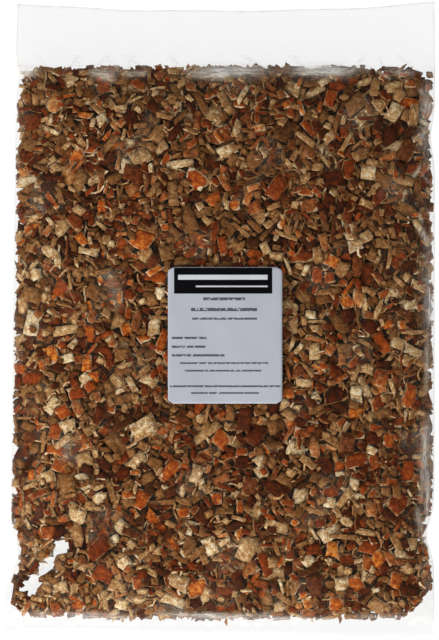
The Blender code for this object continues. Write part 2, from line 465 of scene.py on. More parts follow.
@dataclass(frozen=True)
class PaintedShadeInside:
    """Painted shade: a dark sheet that stands for the unlit depth between pieces."""

    name: str
    dark: Colour = (0.012, 0.005, 0.002)
    light: Colour = (0.030, 0.013, 0.005)

    def material(self) -> bpy.types.Material:
        """The finish: brown-black painted shade with faint mottling."""
        bench = Bench(self.name)
        colour = bench.blend(bench.noise(bench.place(), 240.0, 3.0), self.dark, self.light)
        return bench.finish(bench.surface({"Base Color": colour, "Roughness": 0.9, "Specular IOR Level": 0.1}))


@dataclass(frozen=True)
class ClearFilm:
    """Thin clear film: it dims what is behind a little, shines where it turns away and is milky where it creases; the
    milkiness is partly the film's haze and partly painted sheen along creases, wrinkles, bands and edges.

    The milkiness is a dusty brown over the peel. Scales are in clouds to a metre.
    """

    name: str
    dimming: Colour = (0.945, 0.945, 0.945)
    milk_and_sheen: Colour = (0.74, 0.715, 0.66)
    dust: Colour = (0.62, 0.53, 0.40)
    gloss: float = 0.002
    turned_gloss: float = 0.3
    most_shown: float = 0.9
    wrinkle_scale: float = 330.0
    wrinkle_squeeze: float = 0.14
    cloud_scale: float = 90.0
    streak_scale: float = 650.0
    ripple_scale: float = 210.0
    ripple_depth: float = 0.0010

    def wrinkle_sheen(self, bench: Bench, where: Wire) -> Wire:
        """Painted sheen of wrinkles: thin lines where a cloud has its middle value, drawn out along the bag where
        upright is 1, else across it.
        """
        upright, squeeze = bench.stored("upright"), self.wrinkle_squeeze
        lines = []
        for stretch, share in (((1.0, squeeze, 0.0), upright), ((squeeze, 1.0, 0.0), 1.0 - upright)):
            drawn = bench.node("ShaderNodeVectorMath", {"operation": "MULTIPLY"}, {0: where, 1: stretch})
            cloud = bench.noise(drawn, self.wrinkle_scale, 3.0, 0.6)
            lines.append((cloud - 0.5).size().rise(0.0, 0.05, 1.0, 0.0) * share)
        return lines[0] + lines[1]

    def material(self) -> bpy.types.Material:
        """The finish, read from the stored numbers: the share of haze and painted sheen, dust and upright."""
        bench = Bench(self.name)
        where = bench.place()
        wrinkle_sheen = self.wrinkle_sheen(bench, where)
        clear = bench.node("ShaderNodeBsdfTransparent", {}, {"Color": (*self.dimming, 1.0)})
        facing = bench.node("ShaderNodeLayerWeight", {}, {"Blend": 0.5}, "Facing")
        cloud = bench.noise(where, self.cloud_scale, 4.0, 0.6)
        streaks = bench.noise(where, self.streak_scale, 3.0, 0.6)
        # the milky share: the film's haze, and painted sheen in creases, bands, wrinkles and edges
        haze = bench.stored("haze") * (0.30 + cloud * 0.9 + (streaks - 0.5) * 0.35 + wrinkle_sheen * 0.8)
        ripple = bench.noise(where, self.ripple_scale) + streaks * 0.18
        share = (haze + (facing ** 4.0) * self.turned_gloss + self.gloss).least(self.most_shown).most(0.0)
        inputs = {
            "Base Color": bench.blend(bench.stored("dust"), self.milk_and_sheen, self.dust),
            "Metallic": haze.rise(0.02, 0.35, 0.25, 0.0),
            "Roughness": haze.rise(0.0, 0.4, 0.20, 0.45),
            "Normal": bench.bump(ripple, 0.15, self.ripple_depth),
        }
        shown = bench.node("ShaderNodeMixShader", {}, {0: share, 1: clear, 2: bench.surface(inputs)})
        return bench.finish(shown)


class Ink(Enum):
    """Colours printed on the label."""

    BAND = (0.002, 0.002, 0.003)
    TEXT = (0.045, 0.047, 0.060)
    CLEAR = (0.55, 0.56, 0.60)


@dataclass(frozen=True)
class Bar:
    """A printed bar on the label, in millimetres from its lower left corner: left, right, middle height and height."""

    left: float
    right: float
    middle: float
    height: float


@dataclass(frozen=True)
class LabelPaper:
    """Smooth pale paper under a sheen of film, with a black band and plain printed bars."""

    name: str
    bars: tuple[Bar, ...]
    paper: Colour = (0.346, 0.360, 0.401)
    lighter_paper: Colour = (0.382, 0.394, 0.432)
    band: Bar = Bar(3.6, 61.8, 72.8, 15.4)
    band_bars: tuple[Bar, ...] = (Bar(6.0, 59.0, 74.8, 2.9), Bar(16.5, 59.0, 69.4, 0.9))
    band_soft: float = 0.12
    bar_soft: float = 0.14
    bar_shares: tuple[float, float] = (0.92, 0.85)

    def bar_mask(self, x: Wire, y: Wire, bar: Bar, soft: float) -> Wire:
        """1 inside a bar and 0 outside, turning over soft millimetres."""
        half = (bar.right - bar.left) / 2
        across = half - (x - (bar.left + half)).size()
        along = bar.height / 2 - (y - bar.middle).size()
        return across.rise(-soft, soft) * along.rise(-soft, soft)

    def material(self) -> bpy.types.Material:
        """The finish, in the label's own map of millimetres."""
        bench = Bench(self.name)
        sheet = bench.node("ShaderNodeUVMap", {"uv_map": "sheet"})
        split = bench.tree.nodes.new("ShaderNodeSeparateXYZ")
        bench.tree.links.new(sheet.socket, split.inputs[0])
        x, y = (Wire(bench, split.outputs[axis]) * MM_IN_DECIMETRE for axis in (0, 1))
        fibre = bench.noise(bench.place(), 1800.0)
        paper_waves = bench.noise(bench.place(), 28.0)
        # the paper is a little lighter in broad patches, where the same cloud raises its waves
        paper = bench.blend(paper_waves.rise(0.3, 0.7) * 0.35 + fibre * 0.1, self.paper, self.lighter_paper)
        breaks = bench.noise(sheet, 58.0, 1.0, 0.4).rise(0.34, 0.42)
        colour = bench.blend(self.bar_mask(x, y, self.band, self.band_soft), paper, Ink.BAND.value)
        dark, light = self.bar_shares
        for bars, ink, share in ((self.bars, Ink.TEXT, breaks * dark), (self.band_bars, Ink.CLEAR, light)):
            marks = bench.bars(lambda bar: self.bar_mask(x, y, bar, self.bar_soft), bars)
            colour = bench.blend(marks * share, colour, ink.value)
        inputs = {
            "Base Color": colour,
            "Roughness": 0.42,
            "Specular IOR Level": 0.07,
            "Normal": bench.bump(paper_waves * 0.6 + fibre * 0.02, 0.25, 0.002),
        }
        return bench.finish(bench.surface(inputs))


@dataclass(frozen=True)
class WhiteTable:
    """The plain table top, softly lit from within like a light table."""

    name: str
    colour: Colour = (0.08, 0.08, 0.08)
    glow: float = 0.965

    def material(self) -> bpy.types.Material:
        """The finish: matt white with an even glow."""
        bench = Bench(self.name)
        inputs = {
            "Base Color": (*self.colour, 1.0),
            "Roughness": 0.7,
            "Specular IOR Level": 0.1,
            "Emission Color": (1.0, 1.0, 1.0, 1.0),
            "Emission Strength": self.glow,
        }
        return bench.finish(bench.surface(inputs))


# The bag's form


@dataclass(frozen=True)
class BagForm:
    """The bag's outline and its two walls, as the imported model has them."""

    length: float = 0.3816
    left: tuple[float, float] = (-0.1210, -0.1260)
    right: tuple[float, float] = (0.1300, 0.1294)
    foot_flare: float = 0.0040
    head_dip: float = 0.0052
    foot_skew: float = 0.0040
    head_ripple: float = 0.0004
    foot_ripple: float = 0.0008
    head_wave: float = 0.0008
    peel_top: float = 0.1525
    peel_foot: float = -0.1808
    height: float = 0.0400
    fold: float = 0.0110
    head_edge_height: float = 0.0045
    foot_edge_height: float = 0.0060
    crown_across: tuple[float, float] = (2.8, 0.54)
    crown_along: tuple[float, float] = (4.2, 0.52)
    seat_across: float = 8.0
    seat_along: float = 10.0
    seat_gain: float = 1.35
    lumps: float = 0.0007
    pinches: tuple[tuple[int, float, float, float], ...] = (
        (-1, -0.1410, 0.0046, 0.0120),
        (-1, 0.1440, 0.0012, 0.0100),
        (1, -0.1295, 0.0046, 0.0120),
        (1, 0.1090, 0.0024, 0.0120),
    )

    def side(self, sign: int, y: Array) -> Array:
        """X of the left (-1) or right (+1) side at y: a straight run, the foot's flare and the pinches."""
        share = (self.length / 2 - y) / self.length
        at_head, at_foot = self.left if sign < 0 else self.right
        x = at_head + (at_foot - at_head) * share
        if sign < 0:
            x = x - self.foot_flare * ease((self.peel_foot + 0.03 - y) / 0.03)
        for pinched, place, depth, reach in self.pinches:
            if pinched == sign:
                x = x - sign * depth * bell(y - place, reach)
        return x

    def head_edge(self, x: Array) -> Array:
        """Y of the film's far edge: it dips in the middle."""
        dip = self.head_dip * (1 - np.abs(x / self.right[0]) ** 2.5)
        return self.length / 2 - dip - self.head_ripple * np.sin(x * 90)

    def foot_edge(self, x: Array) -> Array:
        """Y of the weld's edge: it runs a little askew."""
        skew = self.foot_skew * ease(0.5 - x / 0.24)
        return -self.length / 2 + skew - self.foot_ripple * np.cos((x + 0.03) * 55)

    def across(self, x: Array, y: Array) -> Array:
        """-1 to 1 from the left side to the right one."""
        left, right = self.side(-1, y), self.side(1, y)
        return (2 * x - left - right) / (right - left)

    def along(self, y: Array) -> Array:
        """-1 to 1 from the peel's foot to its top."""
        return (y - (self.peel_top + self.peel_foot) / 2) / ((self.peel_top - self.peel_foot) / 2)

    def fold_line(self, x: Array, y: Array) -> Array:
        """Height where the walls meet: it droops to the head's edge, in slight waves, and to the foot's."""
        up = ease((y - self.peel_top) / (self.length / 2 - self.peel_top))
        down = ease((self.peel_foot - y) / (self.peel_foot + self.length / 2))
        droop = (self.head_edge_height - self.fold) * up + (self.foot_edge_height - self.fold) * down
        wave = self.head_wave * up * (np.sin(x * 82 + 0.6) + 0.5 * np.sin(x * 151))
        return self.fold + droop + wave

    def fullness(self, x: Array, y: Array) -> Array:
        """0 at the peel's outline to 1 over its middle: the product of two powers of a power."""
        u = np.clip(np.abs(self.across(x, y)), 0, 1)
        v = np.clip(np.abs(self.along(y)), 0, 1)
        (p, q), (r, s) = self.crown_across, self.crown_along
        return (1 - u**p) ** q * (1 - v**r) ** s

    def upper(self, x: Array, y: Array) -> Array:
        """Height of the upper wall."""
        full = self.fullness(x, y)
        waves = np.sin(x * 61 + 0.7) * np.cos(y * 47 - 0.4) + 0.6 * np.sin(x * 97 - y * 74 + 1.9)
        return self.fold_line(x, y) + (self.height - self.fold) * full + self.lumps * waves * full

    def lower(self, x: Array, y: Array) -> Array:
        """Height of the lower wall: flat on the table, all but its borders."""
        u = np.clip(np.abs(self.across(x, y)), 0, 1)
        v = np.clip(np.abs(self.along(y)), 0, 1)
        sunk = np.minimum(1, self.seat_gain * np.sqrt((1 - u**self.seat_across) * (1 - v**self.seat_along)))
        return self.fold_line(x, y) * (1 - sunk)


@dataclass(frozen=True)
class PeelOutline:
    """Where the loose peel reaches in the bag, seen from above: a rectangle with four slanting corners."""

    form: BagForm
    top: float = 0.1532
    foot_left: float = -0.1796
    foot_right: float = -0.1835
    side_gap: float = 0.0010
    slot_top: tuple[float, float] = (-0.0935, -0.1350)
    slot_foot: tuple[float, float] = (-0.1125, -0.1600)
    slot_half: tuple[float, float] = (0.0046, 0.0050)
    corners: tuple[tuple[int, int, float, float], ...] = (
        (-1, 1, 0.2685, 0.0),
        (1, 1, 0.2770, 0.0),
        (-1, -1, 0.2930, 0.0035),
        (1, -1, 0.2930, -0.0005),
    )

    def slot(self, x: Array, y: Array) -> Array:
        """Distance outside the empty slot that a fold leaves at the foot's left corner."""
        off, held = off_line(x, y, self.slot_top, self.slot_foot)
        half = self.slot_half[0] + (self.slot_half[1] - self.slot_half[0]) * held
        return off - half - 0.0016 * np.sin(held * 14 + 0.6)

    def room(self, x: Array, y: Array) -> Array:
        """Distance inside the outline, less than 0 outside: the least over its sides and corners.

        A corner, (side, end, reach, gain), is the line where side * x + end * y is reach, moved out by gain.
        """
        top = self.top + 0.0016 * np.sin(x * 170 + 1.0) + 0.0011 * np.sin(x * 391) - y
        share = (x + 0.13) / 0.26
        foot = y - (self.foot_left + (self.foot_right - self.foot_left) * share) + 0.0012 * np.sin(x * 240 + 2.0)
        left = x - self.form.side(-1, y) - self.side_gap
        right = self.form.side(1, y) - self.side_gap - x
        cut = [(reach - side * x - end * y) / 1.414 + gain for side, end, reach, gain in self.corners]
        return np.minimum.reduce([top, foot, left, right, *cut])


# Loose peel


class Side(Enum):
    """Which wall of the bag the pieces are laid towards."""

    UPPER = 1
    LOWER = -1


@dataclass(frozen=True)
class Cut:
    """One kind of piece: how many, and what sizes and colours they come in.

    Lengths are in metres. The length is (middle, spread of its logarithm, most), the other pairs are (least, most),
    and shape is width over length. Skin_up is the share that shows its skin. Kinds of a lower stage are laid first.
    """

    name: str
    count: int
    length: tuple[float, float, float]
    shape: tuple[float, float]
    thickness: tuple[float, float]
    sag: tuple[float, float]
    tilt: float
    skin_up: float
    tone: tuple[float, float]
    tone_lean: float = 1.0
    stain: tuple[float, float] = (0.1, 1.0)
    edge: tuple[float, float] = (0.8, 1.0)
    on_edge: bool = False
    stage: int = 2
    headroom: float = 0.0
    marks: tuple[Mark, ...] = ()


@dataclass(frozen=True)
class Mark:
    """A piece that stands out: middle, length and width in millimetres, heading in degrees, tone in hundredths."""

    x: float
    y: float
    length: float
    width: float
    heading: float
    tone: float


@dataclass
class Pieces:
    """Many pieces as arrays with one row for each."""

    kind: Array
    corners: Array
    cuts: Array
    thickness: Array
    bend: Array
    skin_up: Array
    tone: Array
    stain: Array
    edge: Array
    wobble: Array
    jitter: Array
    on_edge: Array
    tilt: Array
    spot: Array
    middle: Array
    slopes: Array
    laid: Array


def cut_peel(cuts: tuple[Cut, ...], draw: np.random.Generator) -> Pieces:
    """Draws the pieces of every kind, roughly the largest first.

    Args:
        cuts: The kinds.
        draw: The seeded source of chance.

    Returns:
        The pieces, not laid yet. A corner is half a side's length out along each axis, moved by up to an eighth of
        the side, and then turned by the piece's heading; some corners are drawn in. The bend is
        z = a x^2 + b y^2 + c x y, with a, b and c worked out from the sag at half the length.
    """
    kind = np.repeat(np.arange(len(cuts)), [c.count for c in cuts])
    count = len(kind)

    def per(values: Callable[[Cut], float]) -> Array:
        """One value of each piece's kind."""
        return np.array([values(c) for c in cuts])[kind]

    def between(values: Callable[[Cut], tuple[float, float]]) -> Array:
        """A value drawn evenly between two of each piece's kind."""
        low, high = per(lambda c: values(c)[0]), per(lambda c: values(c)[1])
        return low + (high - low) * draw.random(count)

    length = per(lambda c: c.length[0]) * np.exp(per(lambda c: c.length[1]) * draw.standard_normal(count))
    length = np.clip(length, 0.5 * per(lambda c: c.length[0]), per(lambda c: c.length[2]))
    width = np.minimum(length * between(lambda c: c.shape), WIDEST)
    heading = draw.random(count) * 2 * math.pi
    tone_low, tone_high = per(lambda c: c.tone[0]), per(lambda c: c.tone[1])
    tone = tone_low + (tone_high - tone_low) * draw.random(count) ** per(lambda c: c.tone_lean)
    spot = np.full((count, 2), np.nan)
    for number, cut in enumerate(cuts):
        if cut.marks:
            rows = kind == number
            x, y, long, wide, headings, tones = np.array([astuple(mark) for mark in cut.marks]).T
            spot[rows] = np.stack([x, y], 1) * MM
            length[rows], width[rows] = long * MARK_SHRINK[0] * MM, wide * MARK_SHRINK[1] * MM
            heading[rows], tone[rows] = np.radians(headings), tones / 100
    free = np.isnan(spot[:, 0])
    pulls = draw.uniform(-0.13, 0.13, (count, 4, 2)) * np.where(free, 1.0, 0.5)[:, None, None]
    corners = (SQUARE + pulls) * np.stack([length, width], 1)[:, None, :]
    turn = np.stack([np.cos(heading), -np.sin(heading), np.sin(heading), np.cos(heading)], 1).reshape(-1, 2, 2)
    corners = np.einsum("nij,nkj->nki", turn, corners)
    sag = between(lambda c: c.sag) * draw.choice([-1, 1], count, p=[0.45, 0.55])
    hard = sag / (length / 2) ** 2
    axis = draw.random(count) * math.pi
    bend = np.stack([hard * np.cos(axis) ** 2, hard * np.sin(axis) ** 2, hard * np.sin(2 * axis)], 1)
    blunt = draw.random((count, 4)) < np.where(free, 0.10, 0.04)[:, None]
    cut_off = draw.uniform(0.15, 0.50, (count, 4))
    made = Pieces(
        kind=kind,
        corners=corners,
        cuts=np.where(blunt, cut_off, 0.0),
        thickness=between(lambda c: c.thickness) * np.clip(length / 0.006, 0.5, 1.0),
        bend=bend,
        skin_up=draw.random(count) < per(lambda c: c.skin_up),
        tone=tone,
        stain=between(lambda c: c.stain),
        edge=np.where(draw.random(count) < 0.85, draw.uniform(0.35, 1.0, count), 0.0) * between(lambda c: c.edge),
        wobble=draw.uniform(-1, 1, (count, PLATE, 2)) * (0.075 * width)[:, None, None],
        jitter=draw.uniform(-1, 1, (count, PLATE)) * 0.00035,
        on_edge=per(lambda c: float(c.on_edge)) > 0,
        tilt=per(lambda c: c.tilt),
        spot=spot,
        middle=np.zeros((count, 3)),
        slopes=np.zeros((count, 2)),
        laid=np.zeros(count, dtype=bool),
    )
    order = np.argsort(-length * np.exp(0.6 * draw.standard_normal(count)), kind="stable")
    return Pieces(**{name: values[order] for name, values in vars(made).items()})


class Bed:
    """A height map of the peel laid so far, between the bag's inside and a ceiling at the film.

    For the lower wall everything is turned upside down, so that the same steps lay pieces against the film below.
    """

    def __init__(self, outline: PeelOutline, side: Side, depth: float, slack: float, cell: float = 0.0008) -> None:
        """Starts the map.

        Args:
            outline: Where peel may lie.
            side: The wall that the pieces are laid towards.
            depth: How far below that wall the first pieces may rest.
            slack: How far the ceiling waves below the wall, in hollows a few centimetres wide.
            cell: Size of a cell of the map.
        """
        form = outline.form
        self.cell = cell
        self.spare = 0.0009 if side is Side.UPPER else 0.0001
        self.x, self.y = np.arange(-0.134, 0.134, cell), np.arange(-0.188, 0.160, cell)
        x, y = np.meshgrid(self.x, self.y)
        slot = outline.slot(x, y)
        upper, lower = form.upper(x, y), form.lower(x, y)
        inside = (outline.room(x, y) > 0) & (slot > -0.0030)
        waves = ((0.5, 118, 61, 0.3), (0.5, -73, 107, 1.7), (0.35, 41, -168, 2.9), (0.3, 211, 143, 0.9))
        valleys = sines(x, y, waves)
        hollow = slack * np.clip(0.5 + 0.5 * valleys, 0, 1.3) * ease((upper - lower) / 0.03)
        if side is Side.UPPER:
            self.ceiling = np.where(inside, upper - 0.0004 - hollow, OUTSIDE)
            self.height = np.maximum(upper - depth, (upper + lower) / 2)
        else:
            self.ceiling = np.where(inside, -(lower + 0.0003), OUTSIDE)
            self.height = -np.minimum(lower + depth, (upper + lower) / 2)
        rise_y, rise_x = np.gradient(np.where(inside, self.ceiling, np.nan), cell)
        self.fall = np.clip(np.nan_to_num(np.stack([rise_x, rise_y], -1)), -0.9, 0.9)
        self.free = np.argwhere(inside & (slot > 0))

    def footprint(self, corners: Array) -> tuple[Array, Array]:
        """Cells under a four-cornered outline around its middle.

        Args:
            corners: Four places, anticlockwise.

        Returns:
            Offsets in rows and in columns.
        """
        reach = int(np.abs(corners).max() / self.cell) + 1
        steps = np.arange(-reach, reach + 1)
        over, down = np.meshgrid(steps, steps)
        x, y = over * self.cell, down * self.cell
        inside = np.ones(x.shape, dtype=bool)
        for a, b in zip(corners, np.roll(corners, -1, axis=0)):
            inside &= (b[0] - a[0]) * (y - a[1]) - (b[1] - a[1]) * (x - a[0]) > -0.3 * self.cell * abs(b - a).max()
        return down[inside], over[inside]

    @staticmethod
    def stood(corners: Array, thickness: float) -> Array:
        """The outline of a piece that stands on edge, as long as the piece and as wide as it is thick."""
        along = (corners[1] + corners[2] - corners[0] - corners[3]) / 2
        normal = np.array([-along[1], along[0]]) / (np.hypot(*along) + 1e-9) * thickness / 2
        return np.array([-along / 2 - normal, along / 2 - normal, along / 2 + normal, -along / 2 + normal])

    @staticmethod
    def lean(dx: Array, dy: Array, heights: Array) -> Array:
        """Slopes across and along of the heights under a piece, each by least squares."""
        parts = []
        for offset in (dx, dy):
            off = offset - offset.mean()
            parts.append((off * heights).sum() / ((off**2).sum() + 1e-12))
        return np.array(parts)

    def lay(
        self,
        pieces: Pieces,
        which: Array,
        draw: np.random.Generator,
        headroom: float = 0.0,
        tries: int = 16,
        looks: int = 8,
    ) -> None:
        """Lays pieces one after another, each in the emptiest of a few places where it fits under the ceiling.

        Args:
            pieces: All pieces; their middles and slopes are filled in.
            which: Rows to lay.
            draw: The seeded source of chance.
            headroom: How far below the ceiling they end.
            tries: Places tried before a piece is left out.
            looks: Places compared for each try.
        """
        for n in which:
            standing, marked = pieces.on_edge[n], not np.isnan(pieces.spot[n, 0])
            corners = pieces.corners[n]
            down, over = self.footprint(self.stood(corners, pieces.thickness[n]) if standing else corners)
            if len(down) < 3:
                continue
            dx, dy = over * self.cell, down * self.cell
            a, b, c = pieces.bend[n] * (not standing)
            bow = a * dx * dx + b * dy * dy + c * dx * dy
            for _ in range(1 if marked else tries):
                spots = self.free[draw.integers(0, len(self.free), looks)]
                if marked:
                    spots = np.round((pieces.spot[n] - (self.x[0], self.y[0])) / self.cell).astype(int)[None, ::-1]
                gaps = self.ceiling[spots[:, 0], spots[:, 1]] - self.height[spots[:, 0], spots[:, 1]]
                row, column = spots[np.argmax(gaps)]
                r, k = row + down, column + over
                if r.min() < 0 or k.min() < 0 or r.max() >= len(self.y) or k.max() >= len(self.x):
                    continue
                ceiling, h = self.ceiling[r, k], self.height[r, k]
                if ceiling.min() < OUTSIDE / 2:
                    continue
                slope = fall = self.fall[row, column]
                if standing:
                    low, thick = h.mean() + 0.0007, 0.0
                else:
                    limit, thick = pieces.tilt[n], pieces.thickness[n]
                    lean = 0.75 * (self.lean(dx, dy, h) - fall) * (not marked) + draw.uniform(-0.6, 0.6, 2) * limit
                    slope = fall + np.clip(lean, -limit, limit)
                    low = np.quantile(h - slope[0] * dx - slope[1] * dy - bow, 0.88) - 0.0001
                top = low + slope[0] * dx + slope[1] * dy + bow + thick
                if marked:
                    low += (ceiling - top).min()
                    top += (ceiling - top).min()
                elif (top - ceiling).max() > self.spare - headroom:
                    continue
                self.height[r, k] = np.maximum(h, top)
                pieces.middle[n] = (self.x[column], self.y[row], low)
                pieces.slopes[n] = slope
                pieces.laid[n] = True
                break


def piece_mesh(name: str, pieces: Pieces, which: Array, side: Side, form: BagForm) -> bpy.types.Object:
    """Joins pieces into one mesh.

    Each is a plate on a grid of four by four places: a place is the bilinear mean of the four corners plus a slight
    wobble on its border, raised by the bend. The upper and lower faces lie half the thickness to each side along
    the plate's normal, and a band joins them.

    Args:
        name: The mesh's name.
        pieces: All pieces.
        which: Rows to take.
        side: The wall that they were laid towards. For the lower one the mesh is turned upside down.
        form: The bag's form, whose sides hold the pieces in.

    Returns:
        The object with the numbers skin, rim, tone, stain and edge stored on its vertices.
    """
    s, t = (steps.ravel() for steps in np.meshgrid(STEPS, STEPS))
    weights = np.stack([(1 - s) * (1 - t), (1 + s) * (1 - t), (1 + s) * (1 + t), (1 - s) * (1 + t)], 1) / 4
    border = np.maximum(np.abs(s), np.abs(t)) > 0.9
    last = len(STEPS) - 1
    flat = np.einsum("kc,ncx->nkx", weights, pieces.corners[which])
    flat += pieces.wobble[which] * border[None, :, None]
    flat[:, [0, last, PLATE - 1, PLATE - 1 - last]] *= (1 - pieces.cuts[which])[:, :, None]
    a, b, c = pieces.bend[which].T[:, :, None]
    x, y = flat[..., 0], flat[..., 1]
    bow = a * x * x + b * y * y + c * x * y + pieces.jitter[which] * ~border[None, :]
    slope_x, slope_y = pieces.slopes[which].T[:, :, None]
    half = pieces.thickness[which][:, None] / 2
    steep = np.sqrt(1 + slope_x**2 + slope_y**2)
    normal = np.stack([-slope_x, -slope_y, np.ones_like(slope_x)], -1) / steep[..., None]
    normal = np.repeat(normal, PLATE, axis=1)
    height = bow + slope_x * x + slope_y * y + half
    plate = np.concatenate([flat, height[..., None]], -1) + pieces.middle[which][:, None, :]
    upright = pieces.on_edge[which]
    if upright.any():
        plate[upright], normal[upright] = upright_plates(pieces, which[upright], flat[upright], bow[upright])
    offset = normal * half[..., None]
    places = np.concatenate([plate + offset, plate - offset], 1)
    least, most = (form.side(sign, places[..., 1]) - sign * FILM_GAP for sign in (-1, 1))
    places[..., 0] = np.clip(places[..., 0], least, most)
    one = shell_faces(len(STEPS), len(STEPS))
    if side is Side.LOWER:
        places = places * np.array([1, 1, -1])
        one = one[:, ::-1]
    count = len(which)
    faces = (one[None] + 2 * PLATE * np.arange(count)[:, None, None]).reshape(-1, 4)
    smooth = np.tile(np.arange(len(one)) < 2 * last * last, count)
    made = mesh_piece(name, places.reshape(-1, 3), faces, smooth)
    up = pieces.skin_up[which][:, None]
    give(made, "skin", np.repeat(np.concatenate([up, ~up], 1), PLATE, axis=1))
    give(made, "rim", np.tile(border.astype(float), (count, 2)))
    for own, values in (("tone", pieces.tone), ("stain", pieces.stain), ("edge", pieces.edge)):
        give(made, own, np.repeat(values[which], 2 * PLATE))
    return made


def upright_plates(pieces: Pieces, which: Array, flat: Array, bow: Array) -> tuple[Array, Array]:
    """Plates that stand on edge: their length stays level with the film and their width points down.

    Args:
        pieces: All pieces.
        which: Rows that stand.
        flat: Their places in the flat, by piece and grid place.
        bow: Their bend at each place, used sideways.

    Returns:
        The plates' places and normals.
    """
    corners = pieces.corners[which]
    run = (corners[:, 1] + corners[:, 2] - corners[:, 0] - corners[:, 3]) / 2
    run = run / np.hypot(run[:, 0], run[:, 1])[:, None]
    slope = pieces.slopes[which]
    along = np.concatenate([run, (run * slope).sum(1)[:, None]], 1)
    lean = 0.35 * np.sin(17.0 * pieces.middle[which][:, :1] * 1000)
    out = np.concatenate([-run[:, 1:], run[:, :1], np.zeros((len(run), 1))], 1)
    down = np.concatenate([-slope * 0.2, -np.ones((len(run), 1))], 1) + out * lean
    down /= np.linalg.norm(down, axis=1)[:, None]
    normal = np.cross(along, down)
    normal /= np.linalg.norm(normal, axis=1)[:, None]
    length_at = np.einsum("nkx,nx->nk", flat, run)
    width_at = np.einsum("nkx,nx->nk", flat, np.stack([-run[:, 1], run[:, 0]], 1))
    width_at = width_at - width_at.min(1)[:, None] - 0.0002
    plate = (
        pieces.middle[which][:, None, :]
        + length_at[..., None] * along[:, None, :]
        + width_at[..., None] * down[:, None, :]
        + bow[..., None] * 1.6 * normal[:, None, :]
    )
    return plate, np.broadcast_to(normal[:, None, :], plate.shape)


PALE = (
    (-113, 82, 14, 9, 0, 97), (-9, 91, 24.5, 6.2, -72, 72), (-55, 90, 9.3, 6.7, 80, 100),
    (-23, 92, 17, 5, 8, 92), (-56, 104, 12.6, 8.4, -15, 85), (-2, 123, 14, 11, 60, 78),
    (-94, 55, 11, 10.5, 45, 75), (5, 100, 12, 7, 25, 90), (86, 120, 9, 8, 40, 80), (104, 123, 11, 8, 60, 92),
    (102, 103, 12, 8.4, -20, 88), (89, 87, 9, 8, -5, 94), (57, 135, 14, 4, 30, 90), (105, 138, 9.5, 7, 5, 74),
    (-43, 38, 9, 8, 20, 70), (-111, -2, 15.8, 9.6, 80, 100), (-100, 40, 10.3, 6.9, -40, 88),
    (-77, 40, 12.4, 4, -15, 88), (-109, 26, 8, 7.6, 30, 90), (-116, 8, 9, 6.2, 90, 80),
    (-89, -23, 8.5, 6, 20, 100), (-35, 15, 7.6, 7, 85, 100), (-38, -3, 13, 7.6, 90, 90),
    (-79, -36, 9, 6.2, -40, 92), (-99, -51, 11.7, 6.2, 60, 95), (-41, -36, 10.3, 8, -25, 85),
    (-91, -6, 15.8, 6.2, 8, 78), (103, 16, 7.6, 5.8, -5, 95), (115, 9, 8.7, 6.5, 10, 100),
    (55, 2, 6.5, 5, 0, 95), (43, -3, 12.4, 8.7, 90, 76), (42, 8, 11.6, 6.5, -30, 80),
    (57, -19, 11, 6.5, 90, 85), (107, -14, 8, 7, -25, 85), (116, -19, 10.2, 6.5, -25, 92),
    (82, -45, 11, 8, 90, 97), (95, -56, 6.5, 6, 0, 90), (-89, -64, 9, 7.6, 20, 92),
    (-80, -97, 11.8, 9.3, 110, 93), (-70, -106, 9.3, 6.7, 25, 92), (-84, -117, 10, 9.3, -20, 88),
    (-57, -124, 11, 7.6, -40, 92), (-63, -131, 7.6, 6, 20, 97), (-82, -146, 10, 7.6, -25, 88),
    (-56, -146, 10, 8.4, -50, 95), (-95, -161, 10, 6.7, 15, 88), (-58, -170, 8.4, 6.7, -5, 90),
    (-68, -167, 12.6, 6, 85, 75), (-36, -66, 10, 9, 80, 80), (24, -83, 7, 6, 45, 93),
    (25, -90, 8, 7.5, 30, 93), (-18, -124, 9, 8, 70, 100), (-5, -134, 11.7, 9, 110, 92),
    (34, -123, 14.4, 8, -10, 82), (23, -115, 10.8, 9.9, 45, 72), (33, -152, 13.5, 9, -5, 80),
    (-27, -168, 15, 6, -20, 95), (69, -74, 29, 3.1, 58, 82), (46, -77, 11.4, 8.8, -10, 93),
    (66, -109, 7, 6.6, -5, 93), (82, -106, 9.7, 6.6, -25, 92), (80, -98, 7, 5.7, 80, 95),
    (67, -127, 14, 9.7, 30, 97), (53, -144, 8, 7, 40, 93), (74, -158, 8.8, 7, 10, 90),
    (-8, -68, 20.7, 5.4, 35, 75), (-80, -84, 10, 9, 20, 68), (115, -134, 8, 7.6, 80, 76),
    (-100, 113, 14, 3, -25, 90),
)
